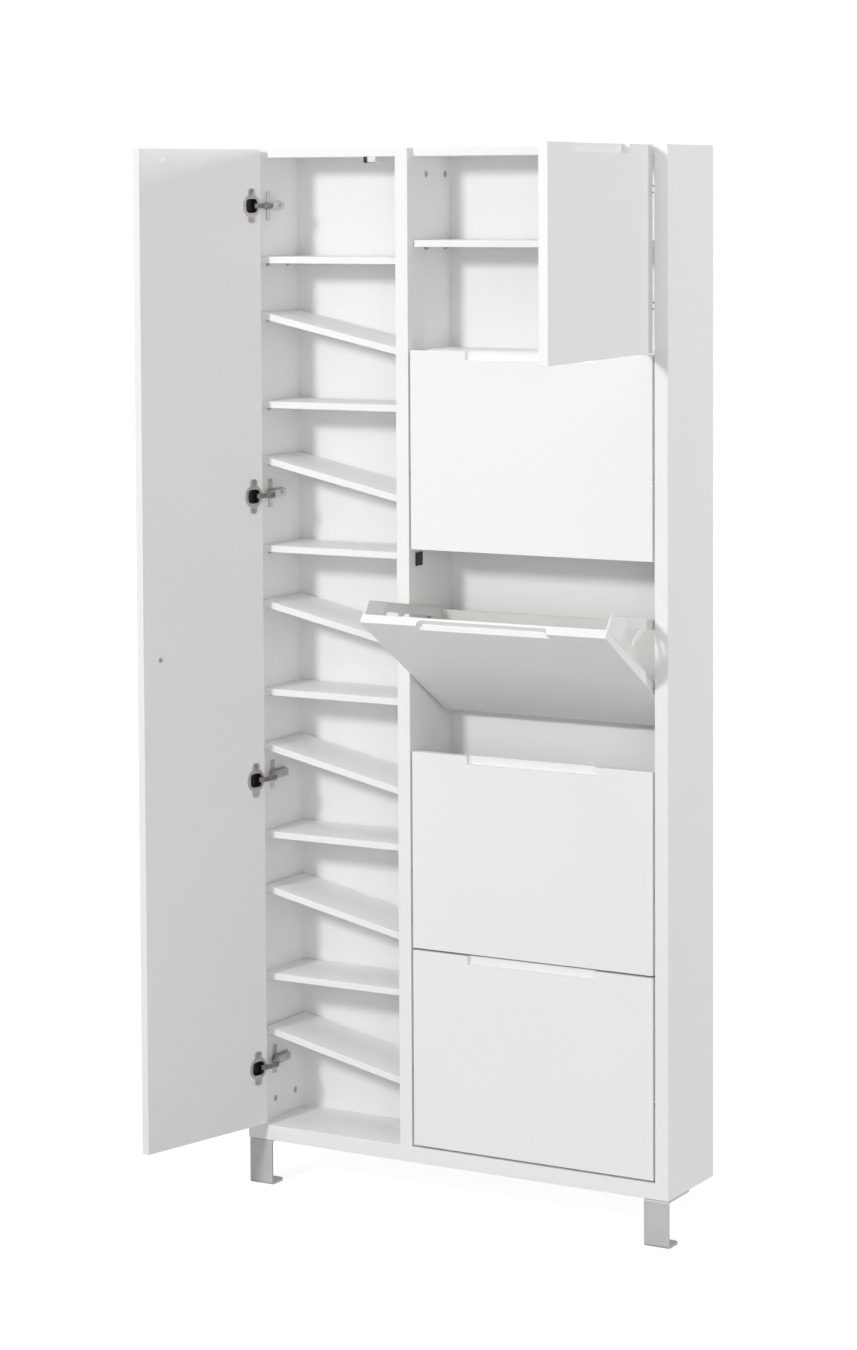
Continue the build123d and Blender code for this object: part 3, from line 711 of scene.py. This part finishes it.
def add_block(grid, low, high, bevel, slot=0):
    """A block with eased edges between two corners."""
    size = Vector(high) - Vector(low)
    centre = (Vector(high) + Vector(low)) / 2
    at = Matrix.Translation(centre) @ Matrix.Diagonal((*size, 1))
    before = set(grid.faces)
    made = bmesh.ops.create_cube(grid, size=1.0, matrix=at)
    edges = {edge for corner in made["verts"] for edge in corner.link_edges}
    bmesh.ops.bevel(grid, geom=list(edges), offset=bevel, segments=2, profile=0.5, affect="EDGES")
    for face in grid.faces:
        if face not in before:
            face.material_index = slot


catch_low, catch_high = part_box("magnetic_catch")
magnet_end = catch_low.x + 0.0075
magnet_back = catch_high.y - 0.004
magnet_edge = 0.0003
plate_room = 0.0018
plate_t = 0.0016
plate_drop = 0.0008
grid = bmesh.new()
add_block(grid, (magnet_end, catch_low.y, catch_low.z), catch_high, 0.0012)
magnet_low = (catch_low.x + plate_room, catch_low.y + 0.0006, catch_low.z + 0.0005)
magnet_high = (magnet_end - plate_room, magnet_back, catch_high.z)
add_block(grid, magnet_low, magnet_high, magnet_edge, 1)
for start in (catch_low.x, magnet_end - 0.0017):
    plate_low = (start, catch_low.y, catch_low.z - plate_drop)
    add_block(grid, plate_low, (start + plate_t, magnet_back, catch_high.z), magnet_edge, 2)
catch = skin("catch_housing", grid, [cheek_white, catch_black, dark_steel_and_painted_shade])
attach(catch, "carcass")
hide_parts("magnetic_catch")

# Cheek ribs and noses: each moulded cheek has a rib along its sloping edge and along the arc
# between its windows, and a smooth white nose at its upper end.

pin_depth = 0.008
pin_height = 0.136
first_flap_z = 0.032
flap_pitch = 0.3544
flap_open = math.radians(57.4)
side_clearance = 0.004
cheek_t = 0.003
cheek_faces = (
    (divider_faces[1] + side_clearance, 1),
    (right_inner_face - side_clearance, -1),
)
rib_height = 0.0022
edge_rib_width = 0.0016
arc_rib_width = 0.002
arc_rib_radius = 0.116
arc_from, arc_to = math.radians(56.5), math.radians(78.0)
arc_steps = 12
edge_path = [(0.1420, 0.1230), (0.0945, 0.2308), (0.0600, 0.3090), (0.0445, 0.3442)]
nose_outline = [(0.0165, 0.2930), (0.0668, 0.2930), (0.0436, 0.3460), (0.0380, 0.3478), (0.0165, 0.3478)]
nose_white = moulded("nose_plastic", (0.95, 0.95, 0.945), 0.36)


def add_wall(grid, path, width, x_low, x_high, matrix):
    """A rib of even width that follows a path in the cheek's plane."""
    near, far = [], []
    for i, (y, z) in enumerate(path):
        before = path[max(i - 1, 0)]
        after = path[min(i + 1, len(path) - 1)]
        along = Vector((after[0] - before[0], after[1] - before[1])).normalized()
        near.append((y - along.y * width / 2, z + along.x * width / 2))
        far.append((y + along.y * width / 2, z - along.x * width / 2))
    outline = near + far[::-1]
    count = len(path)
    low = [grid.verts.new(matrix @ Vector((x_low, y, z))) for y, z in outline]
    high = [grid.verts.new(matrix @ Vector((x_high, y, z))) for y, z in outline]
    for i in range(len(outline)):
        j = (i + 1) % len(outline)
        grid.faces.new((low[i], low[j], high[j], high[i]))
    for row in (low, high):
        for i in range(count - 1):
            grid.faces.new((row[i], row[i + 1], row[-i - 2], row[-i - 1]))


arc_path = []
for i in range(arc_steps + 1):
    turn = arc_from + (arc_to - arc_from) * i / arc_steps
    y = pin_depth + arc_rib_radius * math.cos(turn)
    z = pin_height + arc_rib_radius * math.sin(turn)
    arc_path.append((y, z))
for number in flaps:
    tilt = flap_open if number == 3 else 0.0
    line = Matrix.Translation((0, pin_depth, pin_height))
    placed = Matrix.Translation((0, front_plane, first_flap_z + (number - 1) * flap_pitch))
    placed = placed @ line @ Matrix.Rotation(tilt, 4, "X") @ line.inverted()
    ribs = bmesh.new()
    noses = bmesh.new()
    for outer, step in cheek_faces:
        inner = outer + step * cheek_t
        x_pair = sorted((inner - step * 0.0002, inner + step * rib_height))
        add_wall(ribs, edge_path, edge_rib_width, *x_pair, placed)
        add_wall(ribs, arc_path, arc_rib_width, *x_pair, placed)
        nose_span = sorted((outer - step * 0.0003, inner + step * 0.0012))
        low = [noses.verts.new(placed @ Vector((nose_span[0], y, z))) for y, z in nose_outline]
        high = [noses.verts.new(placed @ Vector((nose_span[1], y, z))) for y, z in nose_outline]
        for i in range(len(nose_outline)):
            j = (i + 1) % len(nose_outline)
            noses.faces.new((low[i], low[j], high[j], high[i]))
        noses.faces.new(low)
        noses.faces.new(high)
    bmesh.ops.bevel(noses, geom=list(noses.edges), offset=0.0004, segments=2, affect="EDGES")
    rib_piece = skin(f"flap_{number}_cheek_ribs", ribs, [cheek_white])
    nose_piece = skin(f"flap_{number}_cheek_noses", noses, [nose_white])
    for piece in (rib_piece, nose_piece):
        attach(piece, f"flap_{number}")

# Front feet: steel strip bent in a press and powder coated silver grey. A flange is screwed up
# under the bottom board and a short lip stands on the floor.


def powder_coat(name, colour):
    """Satin powder coat: silver-grey with fine flake and a soft orange-peel surface."""
    material, tree, shader, place = node_material(name)
    flake = noise(tree, place, 1500.0, 2.0, 0.7)
    clouds = noise(tree, place, 12.0, 3.0)
    lighter = tuple(min(1.0, part * 1.06) for part in colour)
    darker = tuple(part * 0.93 for part in colour)
    mottle = maths(tree, "MULTIPLY_ADD", flake, 0.5, maths(tree, "MULTIPLY", clouds, 0.5))
    coat = ramp(tree, mottle, ((0.35, darker), (0.65, lighter)))
    tree.links.new(coat, shader.inputs["Base Color"])
    shader.inputs["Metallic"].default_value = 0.25
    tree.links.new(maths(tree, "MULTIPLY_ADD", clouds, 0.12, 0.38), shader.inputs["Roughness"])
    peel = noise(tree, place, 240.0, 2.0)
    bump(tree, shader, peel, 0.0001, 0.4)
    return material


foot_silver = powder_coat("silver_coat", (0.66, 0.66, 0.68))
give(["foot_left", "foot_right"], foot_silver)

# Floor: a pale studio floor under the feet that fades out into the white room around it.
# The camera sees it glow a little, and the cabinet is lit by none of that glow.

floor_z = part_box("foot_left")[0].z
floor_mesh = bpy.data.meshes.new("floor")
floor_reach = 30.0
ways = ((-1, -1), (1, -1), (1, 1), (-1, 1))
floor_corners = [(x * floor_reach, y * floor_reach, floor_z) for x, y in ways]
floor_mesh.from_pydata(floor_corners, [], [(0, 1, 2, 3)])
floor = bpy.data.objects.new("floor", floor_mesh)
bpy.context.scene.collection.objects.link(floor)
floor_material, floor_tree, floor_shader, floor_place = node_material("studio_floor")
floor_shader.inputs["Base Color"].default_value = (0.55, 0.55, 0.55, 1)
floor_shader.inputs["Roughness"].default_value = 0.8
floor_shader.inputs["Emission Color"].default_value = (1, 1, 1, 1)
seen_by = floor_tree.nodes.new("ShaderNodeLightPath")
floor_glow = 0.72
glow = maths(floor_tree, "MULTIPLY", seen_by.outputs["Is Camera Ray"], floor_glow)
floor_tree.links.new(glow, floor_shader.inputs["Emission Strength"])
across = floor_tree.nodes.new("ShaderNodeVectorMath")
across.operation = "LENGTH"
floor_tree.links.new(floor_place, across.inputs[0])
fade = floor_tree.nodes.new("ShaderNodeMapRange")
fade.interpolation_type = "SMOOTHSTEP"
fade_start, fade_end = 0.35, 1.5
fade.inputs["From Min"].default_value = fade_start
fade.inputs["From Max"].default_value = fade_end
floor_tree.links.new(across.outputs["Value"], fade.inputs["Value"])
clear = floor_tree.nodes.new("ShaderNodeBsdfTransparent")
faded = floor_tree.nodes.new("ShaderNodeMixShader")
floor_tree.links.new(fade.outputs["Result"], faded.inputs["Fac"])
floor_tree.links.new(floor_shader.outputs["BSDF"], faded.inputs[1])
floor_tree.links.new(clear.outputs["BSDF"], faded.inputs[2])
floor_tree.links.new(faded.outputs["Shader"], floor_tree.nodes["Material Output"].inputs["Surface"])
floor_mesh.materials.append(floor_material)

# Light: a soft key from the front, a little left and above, an overhead softbox, a rim from
# behind the right side, a large fill from the right front, and a white room around.

scene = bpy.context.scene
world = bpy.data.worlds.new("studio")
scene.world = world
world.use_nodes = True
world_tree = world.node_tree
background = world_tree.nodes["Background"]
background.inputs["Color"].default_value = (1, 1, 1, 1)
light_path = world_tree.nodes.new("ShaderNodeLightPath")
room_strength = 0.44
seen_strength = 1.05
strength = world_tree.nodes.new("ShaderNodeMapRange")
strength.inputs["To Min"].default_value = room_strength
strength.inputs["To Max"].default_value = seen_strength
world_tree.links.new(light_path.outputs["Is Camera Ray"], strength.inputs["Value"])
world_tree.links.new(strength.outputs["Result"], background.inputs["Strength"])


def softbox(name, place, target, size, power, colour=(1, 1, 1)):
    """A square area light aimed at a point."""
    data = bpy.data.lights.new(name, "AREA")
    data.size = size
    data.energy = power
    data.color = colour
    lamp = bpy.data.objects.new(name, data)
    lamp.location = place
    lamp.rotation_euler = (Vector(target) - Vector(place)).to_track_quat("-Z", "Y").to_euler()
    scene.collection.objects.link(lamp)


middle = (0, -0.1, 0.95)
softbox("key", (-0.9, -5.0, 2.9), middle, size=0.6, power=109)
softbox("overhead", (0.0, -1.5, 5.5), middle, size=3.0, power=37)
softbox("right_rim", (6.0, 4.5, 2.2), middle, size=1.5, power=172, colour=(0.96, 0.95, 1.0))
softbox("right_front_fill", (5.0, -6.0, 1.5), middle, size=3.0, power=63)

# Camera: a long lens about six metres off, to the right of the cabinet and just below its top.
# The lens is shifted down, so that the uprights stay almost parallel.

camera_place = (2.969, -5.430, 1.7215)
lens = 92.43
sensor = 36
lens_shift = -0.2
yaw = math.radians(29.81)
pitch = math.radians(3.51)
roll = math.radians(0.28)
forward = Vector((-math.sin(yaw) * math.cos(pitch), math.cos(yaw) * math.cos(pitch), -math.sin(pitch)))
level = Vector((math.cos(yaw), math.sin(yaw), 0))
down = forward.cross(level)
right = math.cos(roll) * level + math.sin(roll) * down
below = -math.sin(roll) * level + math.cos(roll) * down
camera_data = bpy.data.cameras.new("camera")
camera_data.lens = lens
camera_data.sensor_width = sensor
camera_data.shift_y = lens_shift
camera_data.clip_end = 100
camera = bpy.data.objects.new("camera", camera_data)
turn = Matrix((right, -below, -forward)).transposed().to_4x4()
camera.matrix_world = Matrix.Translation(camera_place) @ turn
scene.collection.objects.link(camera)
scene.camera = camera
scene.view_settings.view_transform = "Standard"
